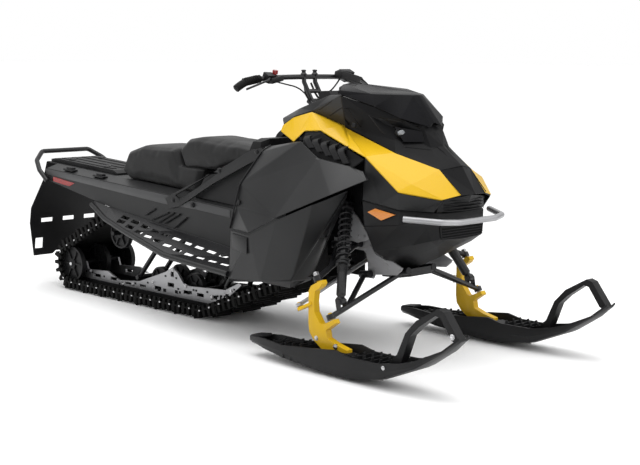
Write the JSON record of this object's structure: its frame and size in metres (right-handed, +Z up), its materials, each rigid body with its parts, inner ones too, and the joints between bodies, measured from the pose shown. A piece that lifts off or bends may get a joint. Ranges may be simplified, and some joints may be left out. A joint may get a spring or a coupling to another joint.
{
  "type": "snowmobile",
  "caption": "Mountain snowmobile: rubber lugged track under a tunnel, seat, faceted hood and two steered skis on double arms with coil shocks.",
  "frame": {"origin": "on the ground, midway along the machine and midway between the skis", "axes": "+X forward to the ski tips, +Y to the machine's left, +Z up"},
  "size_m": [3.109, 1.062, 1.1441],
  "materials": {
    "black_plastic": "satin moulded",
    "black_steel": "powder coat",
    "dark_panel": "satin moulded",
    "engine_cast": "cast",
    "lamp_lens": "clear",
    "orange_lens": "clear over orange",
    "red_lens": "clear over red",
    "rubber": "matte",
    "seat_cover": "textured vinyl",
    "silver": "brushed",
    "steel": "worn",
    "tunnel_paint": "satin powder coat",
    "yellow": "glossy"
  },
  "bodies": {
    "chassis": {"belly_pan": "black_plastic", "cargo_plate": "black_plastic", "cheek_panels": "black_plastic", "console": "black_plastic", "drive_axle": "black_steel", "engine_block": "engine_cast", "frame_struts": "tunnel_paint", "front_bumper": "silver", "front_module": "silver", "front_reflectors": "orange_lens", "front_shocks": "black_steel", "fuel_cap": "black_plastic", "fuel_tank": "dark_panel", "gauge_pod": "black_plastic", "headlights": "lamp_lens", "hood": "black_plastic", "hood_stripes": "yellow", "lower_arms": "black_steel", "lower_panels": "black_plastic", "nose_grille": "black_plastic", "rail_wheels": "black_plastic", "rear_bumper": "black_steel", "rear_wheels": "black_plastic", "running_boards": "tunnel_paint", "seat": "seat_cover", "seat_rear": "seat_cover", "side_panels": "dark_panel", "side_reflectors": "red_lens", "side_vents": "black_plastic", "skid_front_arm": "black_steel", "skid_rear_arm": "black_steel", "skid_shock": "black_steel", "slide_rails": "silver", "slide_shoes": "black_plastic", "snow_flap": "black_plastic", "tail_light": "red_lens", "track": "rubber", "tunnel": "tunnel_paint", "upper_arms": "black_steel", "upper_frame": "tunnel_paint", "upper_wheels": "black_plastic", "windshield": "black_plastic"},
    "steering": {"steering_column": "black_steel", "handlebar": "black_steel", "grips": "rubber", "hand_controls": "black_plastic", "control_levers": "black_steel", "kill_button": "red_lens"},
    "pitman": {"pitman_arm": "black_steel"},
    "drag_link": {"drag_link": "silver"},
    "right_ski": {"spindle_right": "yellow", "ski_right": "black_plastic", "ski_runner_right": "steel"},
    "left_ski": {"spindle_left": "yellow", "ski_left": "black_plastic", "ski_runner_left": "steel"},
    "right_tie_rod": {"tie_rod_right": "silver"},
    "left_tie_rod": {"tie_rod_left": "silver"}
  },
  "joints": [
    {"name": "steering_turn", "type": "hinge", "parent": "chassis", "child": "steering", "pos_m": [0.345, 0, 0.985], "axis": [-0.4664, 0, 0.8846], "range_deg": [-28, 28]},
    {"name": "pitman_turn", "type": "hinge", "parent": "chassis", "child": "pitman", "pos_m": [0.8474, 0, 0.48], "axis": [-0.4664, 0, 0.8846], "range_deg": [-28, 28]},
    {"name": "drag_link_pin", "type": "hinge", "parent": "steering", "child": "drag_link", "pos_m": [0.61653, 0.06, 0.47], "axis": [-0.4664, 0, 0.8846], "range_deg": [-28, 28]},
    {"name": "right_ski_turn", "type": "hinge", "parent": "chassis", "child": "right_ski", "pos_m": [0.833, -0.448, 0.331], "axis": [-0.4664, 0, 0.8846], "range_deg": [-28, 28]},
    {"name": "left_ski_turn", "type": "hinge", "parent": "chassis", "child": "left_ski", "pos_m": [0.833, 0.448, 0.331], "axis": [-0.4664, 0, 0.8846], "range_deg": [-28, 28]},
    {"name": "right_tie_rod_pin", "type": "hinge", "parent": "right_ski", "child": "right_tie_rod", "pos_m": [0.75, -0.472, 0.233], "axis": [-0.4664, 0, 0.8846], "range_deg": [-28, 28]},
    {"name": "left_tie_rod_pin", "type": "hinge", "parent": "left_ski", "child": "left_tie_rod", "pos_m": [0.75, 0.472, 0.233], "axis": [-0.4664, 0, 0.8846], "range_deg": [-28, 28]}
  ],
  "couplings": [
    {"joint": "pitman_turn", "follows": "steering_turn", "ratio": 1},
    {"joint": "drag_link_pin", "follows": "steering_turn", "ratio": -1},
    {"joint": "right_ski_turn", "follows": "steering_turn", "ratio": 1},
    {"joint": "left_ski_turn", "follows": "steering_turn", "ratio": 1},
    {"joint": "right_tie_rod_pin", "follows": "steering_turn", "ratio": -1},
    {"joint": "left_tie_rod_pin", "follows": "steering_turn", "ratio": -1}
  ]
}
